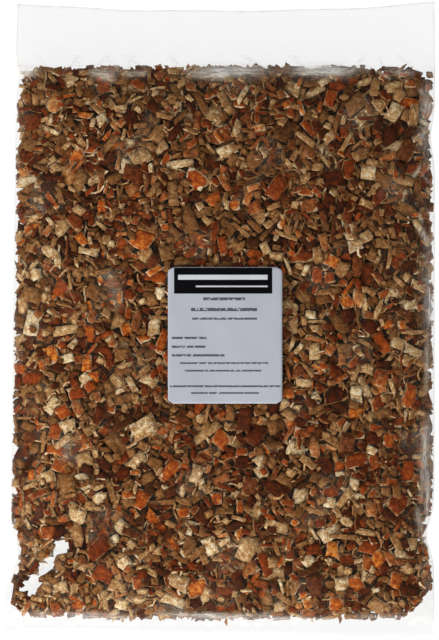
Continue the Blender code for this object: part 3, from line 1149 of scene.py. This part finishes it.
SKIN = (
    (-110, 118, 12.6, 10, 0, 45), (-84, 97, 10, 8.4, 20, 97), (-51, 76, 11, 7, -65, 95),
    (-45, 47, 13, 12, -30, 88), (-58, 42, 12, 7.6, 70, 72), (-3, 71, 8.4, 7.6, 20, 90),
    (5, 86, 11, 8.4, -20, 86), (-68, 138, 11, 7.2, 15, 70), (113, 129, 12, 7, -10, 90),
    (67, 131, 11, 7, 70, 70), (-93, 18, 9.6, 9, 60, 70), (-87, 12, 12.4, 11.5, 30, 42),
    (-80, 5, 13, 9, 25, 105), (-77, -9, 9.6, 7.6, 80, 84), (-99, -21, 11, 7.6, -60, 100),
    (-78, -26, 10.3, 6.2, 90, 97), (-74, -34, 7, 7, 10, 90), (-37, 25, 12.4, 7.6, -15, 76),
    (-33, -13, 14, 6, 70, 82), (-84, -44, 10.3, 9, 10, 64), (94, -37, 16.7, 7.3, -65, 97),
    (97, -14, 14.5, 7.3, -60, 74), (68, 34, 8.7, 8, -30, 93), (76, 10, 9.5, 8, -60, 90),
    (88, 26, 14.5, 9.5, 75, 32), (66, 25, 6.8, 6.5, 0, 72), (59, 26, 9.5, 6.5, 80, 72),
    (114, -46, 14.5, 8, 75, 85), (41, -44, 7.3, 6.5, 0, 92), (-97, -66, 11, 7.6, 80, 70),
    (-81, -72, 13, 9, -60, 90), (-92, -87, 15, 11, -20, 82), (-68, -152, 12.6, 9.3, -30, 60),
    (-80, -163, 11, 6.7, 100, 95), (-47, -106, 12, 10, 60, 80), (-23, -63, 16, 5.4, 5, 72),
    (-28, -90, 16, 8, 55, 82), (-33, -126, 29, 6.3, -50, 86), (-12, -160, 14.4, 9, 25, 95),
    (-1, -106, 7, 7, 0, 86), (46, -62, 12.3, 8.8, 25, 82), (112, -90, 12, 8, 80, 72),
    (93, -85, 9.7, 9.5, 30, 83), (101, -72, 8.8, 7, 80, 78), (95, -143, 9.7, 9.5, 45, 95),
    (89, -136, 13, 8, -15, 70), (82, -158, 11.4, 8, -60, 88), (108, -109, 13, 12.5, 40, 48),
    (83, -68, 7, 7, 5, 50), (54, -169, 8, 8, 20, 95), (70, -170, 9.7, 9, 80, 86), (106, -156, 9.7, 7, 70, 85),
    (68, -137, 9.7, 8, 80, 103), (105, 112, 11, 9.5, 45, 5), (-70, -123, 16, 6.7, -75, 76),
    (77, 89, 11.5, 8.5, 85, 50),
)
PALE_MARKS = tuple(Mark(*row[:5], row[5] - 4) for row in PALE)
SKIN_MARKS = tuple(Mark(*row[:5], row[5] * 0.93) for row in SKIN)


@dataclass(frozen=True)
class LoosePeel:
    """The bag's contents: pieces under the upper wall and above the lower one, around a dark core of painted shade."""

    outline: PeelOutline
    upper_cuts: tuple[Cut, ...] = (
        Cut("deep_peel", 1300, (0.0076, 0.28, 0.0125), (0.5, 0.95), (0.0014, 0.0026), (0.0003, 0.0014), 0.65, 0.5,
            (0.0, 0.60), edge=(0.0, 0.8), stage=0, headroom=0.0030),
        Cut("marked_pith", len(PALE_MARKS), (0.0100, 0.1, 0.0300), (0.5, 0.9), (0.0018, 0.0028), (0.0003, 0.0012),
            0.35, 0.0, (0.5, 0.9), stage=1, stain=(0.1, 0.7), marks=PALE_MARKS),
        Cut("marked_skin", len(SKIN_MARKS), (0.0100, 0.1, 0.0300), (0.5, 0.9), (0.0018, 0.0028), (0.0003, 0.0012),
            0.35, 1.0, (0.5, 0.9), stage=1, stain=(0.1, 0.6), marks=SKIN_MARKS),
        Cut("skin_up_peel", 1750, (0.0077, 0.30, 0.0150), (0.32, 0.86), (0.0013, 0.0025), (0.0004, 0.0022), 0.74, 1.0,
            (0.02, 0.92), 1.05),
        Cut("pith_up_peel", 1450, (0.0073, 0.30, 0.0145), (0.32, 0.88), (0.0015, 0.0027), (0.0004, 0.0020), 0.72, 0.0,
            (0.20, 0.92), 1.1),
        Cut("brown_peel", 1050, (0.0073, 0.30, 0.0145), (0.30, 0.85), (0.0014, 0.0026), (0.0005, 0.0023), 0.80, 0.5,
            (0.0, 0.45), edge=(0.0, 0.8)),
        Cut("peel_strips", 700, (0.0104, 0.26, 0.0225), (0.14, 0.32), (0.0012, 0.0022), (0.0004, 0.0024), 0.60, 0.4,
            (0.1, 0.90)),
        Cut("peel_on_edge", 1600, (0.0072, 0.28, 0.0145), (0.3, 0.55), (0.0008, 0.0016), (0.0004, 0.0020), 0.3, 0.5,
            (0.10, 0.90), 1.0, (0.1, 0.8), on_edge=True),
        Cut("peel_crumbs", 900, (0.0045, 0.25, 0.0068), (0.4, 1.0), (0.0010, 0.0019), (0.0001, 0.0006), 0.8, 0.5,
            (0.05, 0.80), stage=3),
    )
    lower_cuts: tuple[Cut, ...] = (
        Cut("lower_peel", 1200, (0.0108, 0.27, 0.0190), (0.5, 0.98), (0.0015, 0.0028), (0.0001, 0.0007), 0.30, 0.5,
            (0.05, 0.85)),
        Cut("lower_crumbs", 600, (0.0052, 0.25, 0.0080), (0.5, 1.0), (0.0011, 0.0019), (0.0001, 0.0005), 0.45, 0.5,
            (0.05, 0.85), stage=3),
    )
    upper_bed: tuple[float, float] = (0.0115, 0.0022)
    lower_bed: tuple[float, float] = (0.0060, 0.0)
    core_steps: tuple[int, int] = (90, 60)
    core_inset: float = 0.0045
    core_depth: tuple[float, float] = (0.0100, 0.0055)

    def build(self) -> tuple[list[bpy.types.Object], Bed]:
        """Lays everything and makes the meshes.

        Returns:
            The pieces of peel by kind with the core, and the upper bed, whose top the film is drawn over.
        """
        made, beds = [], {}
        for side, cuts, (depth, slack) in (
            (Side.UPPER, self.upper_cuts, self.upper_bed),
            (Side.LOWER, self.lower_cuts, self.lower_bed),
        ):
            draw = np.random.default_rng(SEED + side.value)
            bed = Bed(self.outline, side, depth, slack)
            pieces = cut_peel(cuts, draw)
            stages = np.array([cut.stage for cut in cuts])[pieces.kind]
            for stage in np.unique(stages):
                headroom = max(cut.headroom for cut in cuts if cut.stage == stage)
                bed.lay(pieces, np.flatnonzero(stages == stage), draw, headroom)
            for number, cut in enumerate(cuts):
                which = np.flatnonzero((pieces.kind == number) & pieces.laid)
                made.append(piece_mesh(cut.name, pieces, which, side, self.outline.form))
                log.info("%s: %d laid of %d", cut.name, len(which), cut.count)
            beds[side] = bed
        made.append(self.core())
        return made, beds[Side.UPPER]

    def core(self) -> bpy.types.Object:
        """A dark closed pillow of painted shade between the first levels of the two beds, drawn in by inset from the
        outline.
        """
        form = self.outline.form
        rows, columns = self.core_steps
        inset = self.core_inset
        fine = np.linspace(-0.135, 0.135, 541)
        y = np.linspace(self.outline.foot_right + 0.008, self.outline.top - 0.008, rows)[:, None]
        clear = self.outline.slot(fine[None, :], y) + 0.002
        within = np.minimum(self.outline.room(fine[None, :], y), clear) > inset
        half = len(fine) // 2
        left = fine[half - (~within[:, half::-1]).argmax(1) + 1][:, None]
        right = fine[half + (~within[:, half:]).argmax(1) - 1][:, None]
        x = (left + right) / 2 + (right - left) / 2 * np.sin(np.pi / 2 * np.linspace(-1, 1, columns))[None, :]
        y = np.broadcast_to(y, x.shape)
        room = np.clip((self.outline.room(x, y) - inset) / 0.008, 0, 1)
        upper, lower = form.upper(x, y), form.lower(x, y)
        middle = (upper + lower) / 2
        above, below = self.core_depth
        high = middle + np.maximum(upper - above - middle, 0.0) * room + 0.0002
        low = middle - np.maximum(middle - lower - below, 0.0) * room - 0.0002
        return mesh_piece("peel_core", *two_sided(x, y, high, low))


# Film


@dataclass(frozen=True)
class Crease:
    """A raised line in the film from one place to another, with painted sheen along it, fading towards its end or
    towards both.
    """

    start: tuple[float, float]
    end: tuple[float, float]
    width: float
    height: float
    milk_and_sheen: float
    both: bool = False


@dataclass(frozen=True)
class Film:
    """The clear bag: an upper wall drawn over the peel and a lower one under it, joined at the folds and the ends."""

    form: BagForm
    outline: PeelOutline
    columns: int = 188
    rows: int = 262
    clear_haze: float = 0.003
    gap_haze: float = 0.020
    patch_haze: float = 0.07
    # the top, right, left, foot and edge shares are painted sheen
    top_sheen: float = 0.68
    right_sheen: float = 0.15
    left_sheen: float = 0.05
    foot_sheen: float = 0.17
    empty_haze: float = 0.008
    edge_sheen: float = 0.5
    most_haze: float = 0.75

    def places(self) -> tuple[Array, Array]:
        """X and Y of the film's grid, closer together at the sides and running out to the edges of head and foot."""
        s = np.sin(np.pi / 2 * np.linspace(-1, 1, self.columns) * 0.97) / math.sin(np.pi / 2 * 0.97)
        fine = np.linspace(-self.form.length / 2, self.form.length / 2, 2000)
        dense = 1 + 1.6 * bell(fine - 0.148, 0.008) + 1.2 * bell(fine + 0.179, 0.007) + bell(fine - 0.190, 0.005)
        reached = np.cumsum(dense) - dense[0]
        y = np.interp(np.linspace(0, reached[-1], self.rows), reached, fine)[:, None]
        left, right = self.form.side(-1, y), self.form.side(1, y)
        x = (left + right) / 2 + (right - left) / 2 * s
        head, foot = self.form.head_edge(x), self.form.foot_edge(x)
        up, down = ease((y - 0.155) / 0.035), ease((-0.182 - y) / 0.009)
        y = y + up * (head - self.form.length / 2) + down * (foot + self.form.length / 2)
        return x, y

    def creases(self, draw: np.random.Generator) -> list[Crease]:
        """The noted strokes of painted sheen, then short seeded creases with painted sheen: across the fill line, in
        from the sides, and up from the foot.
        """
        made = []
        for x, y, end_x, end_y, width, milk_and_sheen in SHEEN_STROKES:
            made.append(Crease((x * MM, y * MM), (end_x * MM, end_y * MM), width * MM, 0.0004, milk_and_sheen, True))
        for x in draw.uniform(-0.11, 0.12, 14):
            tip = 0.150 - draw.uniform(0.002, 0.010)
            made.append(Crease((x, 0.158), (x + draw.uniform(-0.02, 0.02), tip), 0.0009, 0.0008, 0.30))
        right = (1, 26, (0.004, 0.012), 0.012, 0.0007, 0.34)
        left = (-1, 16, (0.003, 0.008), 0.010, 0.0006, 0.22)
        for sign, count, reach, drift, width, milk_and_sheen in (right, left):
            for y in draw.uniform(-0.17, 0.14, count):
                edge = float(self.form.side(sign, np.array(y)))
                end = (edge - sign * draw.uniform(*reach), y + draw.uniform(-drift, drift))
                made.append(Crease((edge, y), end, width, width, milk_and_sheen))
        for x in draw.uniform(-0.12, 0.12, 24):
            end = (x + draw.uniform(-0.015, 0.015), -0.181 + draw.uniform(0.002, 0.009))
            made.append(Crease((x, -0.184), end, 0.0008, 0.0007, 0.28))
        return made

    def creased(self, x: Array, y: Array, creases: list[Crease]) -> tuple[Array, Array]:
        """Lift of the creases and the painted sheen along them: a bell across each line, fading towards its end.

        Args:
            x: Places across.
            y: Places along.
            creases: The lines.

        Returns:
            The lift in metres and the share of painted sheen from 0 to 1.
        """
        lift, milk_and_sheen = np.zeros(x.shape), np.zeros(x.shape)
        for crease in creases:
            off, held = off_line(x, y, crease.start, crease.end)
            fade = (1 - (2 * held - 1) ** 2) ** 0.5 if crease.both else (1 - held) ** 0.7
            strength = bell(off, crease.width) * fade
            lift = np.maximum(lift, crease.height * strength)
            milk_and_sheen = np.maximum(milk_and_sheen, crease.milk_and_sheen * strength)
        return lift, milk_and_sheen

    def walls(self, bed: Bed, x: Array, y: Array, filled: Array, lift: Array) -> tuple[Array, Array]:
        """Heights of the film's two walls, which meet around the border.

        The upper wall is the bag's form, and over the peel a smoothed cover of the pieces instead.

        Args:
            bed: The upper bed with all its pieces laid.
            x: Places across.
            y: Places along.
            filled: 1 over the peel.
            lift: How far creases stand out.

        Returns:
            The upper and the lower heights.
        """
        wall = self.form.upper(x, y)
        tight = np.maximum(blurred(widened(bed.height, 4), 2.4), bed.height + 0.0002)
        cover = np.minimum(sample(bed, blurred(tight, 0.8), x, y), wall + 0.002)
        upper = np.where(filled > 0, wall + (cover - wall) * filled, wall) + lift
        inner = (slice(1, -1), slice(1, -1))
        edged = self.form.fold_line(x, y)
        edged[inner] = upper[inner]
        upper = edged + 0.00012
        return upper, np.minimum(self.form.lower(x, y), upper - 0.0002)

    def milk_and_sheen_shares(self, x: Array, y: Array, gap: Array, filled: Array, milk_and_sheen: Array) -> tuple[Array, Array, Array]:
        """How milky the film is: haze in patches, where it stands clear of the peel and over the empty ends, and
        painted sheen in creases, in bands along the fill line, the sides and the foot, and along its edges.

        Args:
            x: Places across.
            y: Places along.
            gap: 1 where the film stands well clear of the peel.
            filled: 1 over the peel.
            milk_and_sheen: Painted sheen of the creases.

        Returns:
            The share of haze and painted sheen, 1 along the outermost edge, and 1 over the peel away from the bands of
            painted sheen.
        """
        patches = sines(x, y, ((0.5, 90, 47, 0.9), (0.5, -61, 88, 2.2), (0.4, 153, -97, 0.4), (0.3, 57, 173, 1.1)))
        patches = ease((patches - 0.55) / 0.6) * filled
        side_right, side_left = self.form.side(1, y) - x, x - self.form.side(-1, y)
        near_top = bell(y - 0.1485, 0.0036) * ease(0.3 + 0.5 * np.sin(x * 95 + 1.3) + 0.5 * np.sin(x * 37 + 0.4))
        near_right = bell(side_right - 0.004, 0.0036) * ease(0.6 + 0.5 * np.sin(y * 61 + 0.5))
        near_left = bell(side_left, 0.003)
        near_foot = bell(y + 0.1785, 0.0026) * ease(0.7 + 0.5 * np.sin(x * 60 + 1.0))
        haze = self.clear_haze + self.gap_haze * gap + self.patch_haze * patches * (0.3 + gap)
        # painted sheen in bands along the fill line, the right and left sides and the foot
        haze = haze + self.top_sheen * near_top + self.right_sheen * near_right
        haze = haze + self.left_sheen * near_left + self.foot_sheen * near_foot + milk_and_sheen
        empty = ease((y - 0.156) / 0.004) + ease((-0.1835 - y) / 0.002)
        haze = haze * (1 - empty) + self.empty_haze * empty
        # painted sheen along the film's outermost edges
        sides = [bell(side, 0.0007) for side in (side_left, side_right)]
        ends = [bell(y - y[row], 0.0006) for row in (0, -1)]
        edge = np.maximum.reduce(sides + ends)
        haze = np.clip(haze + self.edge_sheen * edge, 0, self.most_haze)
        return haze, edge, filled * (1 - near_top) * (1 - near_right) * (1 - near_foot)

    def build(self, bed: Bed) -> bpy.types.Object:
        """Draws the film over the bed.

        Args:
            bed: The upper bed with all its pieces laid.

        Returns:
            The film. Its vertices have the share of haze and painted sheen; upright, 1 where the painted sheen of
            wrinkles runs along the bag; and dust, 1 over the peel, where the milky share is brown.
        """
        x, y = self.places()
        filled = ease(self.form.fullness(x, y) / 0.35)
        lift, milk_and_sheen = self.creased(x, y, self.creases(np.random.default_rng(CREASE_SEED)))
        upper, lower = self.walls(bed, x, y, filled, lift)
        gap = np.clip((upper - sample(bed, bed.height, x, y) - 0.0015) / 0.005, 0, 1) * filled
        haze, edge, dust = self.milk_and_sheen_shares(x, y, gap, filled, milk_and_sheen)
        inward = np.minimum(self.form.side(1, y) - x, x - self.form.side(-1, y))
        upright = ease(1.6 - inward / 0.012)
        made = mesh_piece("film_bag", *two_sided(x, y, upper, lower))
        for name, above, below in (
            ("haze", haze, 0.01 + 0.1 * edge),
            ("upright", upright, upright),
            ("dust", dust, np.zeros(dust.shape)),
        ):
            give(made, name, np.concatenate([above.ravel(), below.ravel()]))
        return made


# Strokes of painted sheen on the film, in millimetres: start x and y, end x and y, width, and share of sheen.
SHEEN_STROKES = (
    (-78, 148, -61, 143, 2.4, 0.52), (-58, 146, -42, 147, 1.8, 0.44), (-20, 147, 5, 145, 2.6, 0.54),
    (49, 146, 72, 149, 0.8, 0.55), (44, 148, 70, 151, 2.4, 0.22), (81, 151, 92, 149, 2.2, 0.26),
    (94, 149, 103, 143, 0.8, 0.50), (99, 149, 118, 147, 2.4, 0.28), (121, 131, 128, 126, 3.2, 0.34),
    (120, 138, 124, 132, 1.4, 0.30), (121, 92, 116, 84, 0.9, 0.50), (119, 63, 122, 57, 0.7, 0.50),
    (118, 56, 122, 48, 0.7, 0.50), (120, 56, 126, 43, 1.2, 0.40), (127, 45, 121, 55, 0.8, 0.45),
    (126, 20, 127, -5, 1.2, 0.40), (125, -10, 124, -45, 1.4, 0.34), (124, -62, 121, -110, 1.8, 0.30),
    (125, -90, 125, -126, 1.0, 0.36), (121, -129, 128, -139, 1.4, 0.62), (118, -112, 122, -130, 1.6, 0.34),
    (-123, -120, -122, -142, 0.8, 0.30), (-95, -134, -112, -158, 0.6, 0.45), (-90, -177, -50, -178, 1.4, 0.20),
    (-40, -176, 20, -178, 1.6, 0.30), (30, -179, 70, -180, 1.4, 0.34), (-58, 4, -66, 30, 3.4, 0.10),
)


def sample(bed: Bed, values: Array, x: Array, y: Array) -> Array:
    """Values of a height map at any places, by the bilinear mean of the four cells around each.

    Args:
        bed: The bed whose cells the map has.
        values: The map.
        x: Places across.
        y: Places along.

    Returns:
        A value for each place, that of the border for places outside.
    """
    rows, columns = values.shape
    c = np.clip((x - bed.x[0]) / bed.cell, 0, columns - 1.001)
    r = np.clip((y - bed.y[0]) / bed.cell, 0, rows - 1.001)
    i, j = r.astype(int), c.astype(int)
    p, q = r - i, c - j
    low = values[i, j] * (1 - q) + values[i, j + 1] * q
    high = values[i + 1, j] * (1 - q) + values[i + 1, j + 1] * q
    return low * (1 - p) + high * p


# Label


@dataclass(frozen=True)
class Label:
    """The paper label, laid on the film."""

    form: BagForm
    size: tuple[float, float] = (0.0677, 0.0808)
    middle: tuple[float, float] = (0.0039, -0.0097)
    corner: float = 0.0034
    thickness: float = 0.0003
    lift: float = 0.0008
    steps: tuple[int, int] = (48, 56)

    def build(self) -> bpy.types.Object:
        """A grid drawn in at its four corners to quarter circles and laid on the upper wall, with slight waves.

        Returns:
            The label with a map in decimetres from its lower left corner.
        """
        columns, rows = self.steps
        width, height = self.size
        u = np.broadcast_to(np.linspace(-1, 1, columns) * width / 2, (rows, columns))
        v = np.broadcast_to((np.linspace(-1, 1, rows) * height / 2)[:, None], (rows, columns))
        over = np.abs(v) - (height / 2 - self.corner)
        pull = self.corner - np.sqrt(np.clip(self.corner**2 - np.clip(over, 0, None) ** 2, 0, None))
        u = u * (1 - np.where(over > 0, pull, 0) / (width / 2))
        x, y = u + self.middle[0], v + self.middle[1]
        waves = 0.00012 * sines(x, y, ((1, 190, 40, 0.2), (1, -60, 160, 1.4), (0.6, 260, 210, 2.1)))
        under = self.form.upper(x, y) + self.lift + waves
        made = mesh_piece("paper_label", *two_sided(x, y, under + self.thickness, under))
        flat = np.stack([u + width / 2, v + height / 2], -1).reshape(-1, 2) * DECIMETRES_IN_METRE
        flat = np.tile(flat, (2, 1))
        corners = np.zeros(len(made.data.loops), dtype=np.int32)
        made.data.loops.foreach_get("vertex_index", corners)
        made.data.uv_layers.new(name="sheet").data.foreach_set("uv", flat[corners].astype(np.float32).ravel())
        return made


# Light, table and camera


@dataclass(frozen=True)
class Studio:
    """A white table, soft lamps around it and a camera straight above."""

    middle: tuple[float, float] = (0.0006, -0.0006)
    shown_height: float = 0.3840
    shown_level: float = 0.0110
    distance: float = 2.2
    table_reach: float = 3.0
    table_level: float = -0.0002
    horizon_light: float = 0.504
    overhead_light: float = 0.0735
    lamps: tuple[tuple[str, tuple[float, float, float], float, float], ...] = (
        ("left_lamp", (-1.7, -0.6, 1.2), 1.0, 33.6),
        ("right_lamp", (1.9, 0.0, 1.3), 1.4, 14.8),
        ("far_lamp", (0.0, 2.0, 1.3), 1.6, 9.2),
        ("near_lamp", (-0.4, -1.4, 1.0), 1.0, 26.5),
    )

    def table(self) -> bpy.types.Object:
        """A wide white sheet just under the bag."""
        reach = np.linspace(-self.table_reach, self.table_reach, 9)
        x, y = np.meshgrid(reach, reach)
        places = np.stack([x, y, np.full(x.shape, self.table_level)], -1).reshape(-1, 3)
        piece = mesh_piece("table", places, grid_faces(*x.shape))
        piece.data.materials.append(WhiteTable("white_table").material())
        return piece

    def lamp(self, name: str, place: tuple[float, float, float], size: float, power: float) -> None:
        """A square lamp aimed at the bag.

        Args:
            name: Its name.
            place: Where it hangs.
            size: Its side.
            power: Its watts.
        """
        light = bpy.data.lights.new(name, "AREA")
        light.size = size
        light.energy = power
        made = bpy.data.objects.new(name, light)
        made.location = place
        x, y, z = place
        made.rotation_euler = (math.atan2(math.hypot(x, y), z), 0, math.atan2(y, x) + math.pi / 2)
        bpy.context.scene.collection.objects.link(made)

    def world(self) -> None:
        """Light from all round, brighter near the horizon than overhead, where the camera's dark side is."""
        world = bpy.data.worlds.new("studio")
        world.use_nodes = True
        tree = world.node_tree
        background = tree.nodes["Background"]
        height = tree.nodes.new("ShaderNodeSeparateXYZ")
        ramp = tree.nodes.new("ShaderNodeMapRange")
        tree.links.new(tree.nodes.new("ShaderNodeTexCoord").outputs["Generated"], height.inputs[0])
        tree.links.new(height.outputs["Z"], ramp.inputs["Value"])
        values = {"From Min": 0.25, "From Max": 0.95, "To Min": self.horizon_light, "To Max": self.overhead_light}
        for name, value in values.items():
            ramp.inputs[name].default_value = value
        tree.links.new(ramp.outputs[0], background.inputs["Strength"])
        background.inputs["Color"].default_value = (1.0, 1.0, 1.0, 1.0)
        bpy.context.scene.world = world

    def camera(self) -> None:
        """Looks straight down from far enough that the sides don't show, and frames the bag to its edges."""
        lens = bpy.data.cameras.new("camera")
        made = bpy.data.objects.new("camera", lens)
        made.location = (*self.middle, self.distance + self.shown_level)
        lens.sensor_fit = "VERTICAL"
        lens.sensor_height = 24.0
        lens.lens = lens.sensor_height * self.distance / self.shown_height
        lens.clip_end = 20
        bpy.context.scene.collection.objects.link(made)
        bpy.context.scene.camera = made

    def build(self) -> None:
        """Sets up the table, the light and the camera."""
        self.table()
        self.world()
        for name, place, size, power in self.lamps:
            self.lamp(name, place, size, power)
        self.camera()
        bpy.context.scene.view_settings.view_transform = "Standard"


LABEL_BARS = (
    Bar(20.9, 45.6, 62.0, 1.7),
    Bar(13.7, 52.8, 55.7, 1.9),
    Bar(14.3, 52.8, 50.3, 1.2),
    Bar(2.3, 22.8, 38.9, 1.3),
    Bar(2.3, 22.2, 33.7, 1.3),
    Bar(2.3, 33.6, 28.6, 1.3),
    Bar(7.1, 59.4, 24.0, 1.0),
    Bar(10.1, 55.2, 19.5, 1.0),
    Bar(1.1, 66.6, 10.3, 1.1),
    Bar(13.7, 54.0, 6.3, 1.0),
)


def main() -> None:
    """Builds the bag, fills and dresses it, and lights it."""
    logging.basicConfig(level=logging.INFO, format="%(name)s: %(message)s")
    Studio().build()
    form = BagForm()
    outline = PeelOutline(form)
    peel, bed = LoosePeel(outline).build()
    finish = DriedPeel("dried_peel").material()
    # the core's finish is painted shade, a dark stand-in for the unlit depth inside the bag
    inside = PaintedShadeInside("dark_inside").material()
    for piece in peel:
        piece.data.materials.append(inside if piece.name == "peel_core" else finish)
    film = Film(form, outline).build(bed)
    film.data.materials.append(ClearFilm("clear_film").material())
    for piece in (*peel, film):
        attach(piece, "root")
        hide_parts("bag")
    label = Label(form).build()
    label.data.materials.append(LabelPaper("label_paper", bars=LABEL_BARS).material())
    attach(label, "root")
    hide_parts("label")
    for piece in (*peel, film, label):
        log.info("%s: %d faces", piece.name, len(piece.data.polygons))


if __name__ == "__main__":
    main()
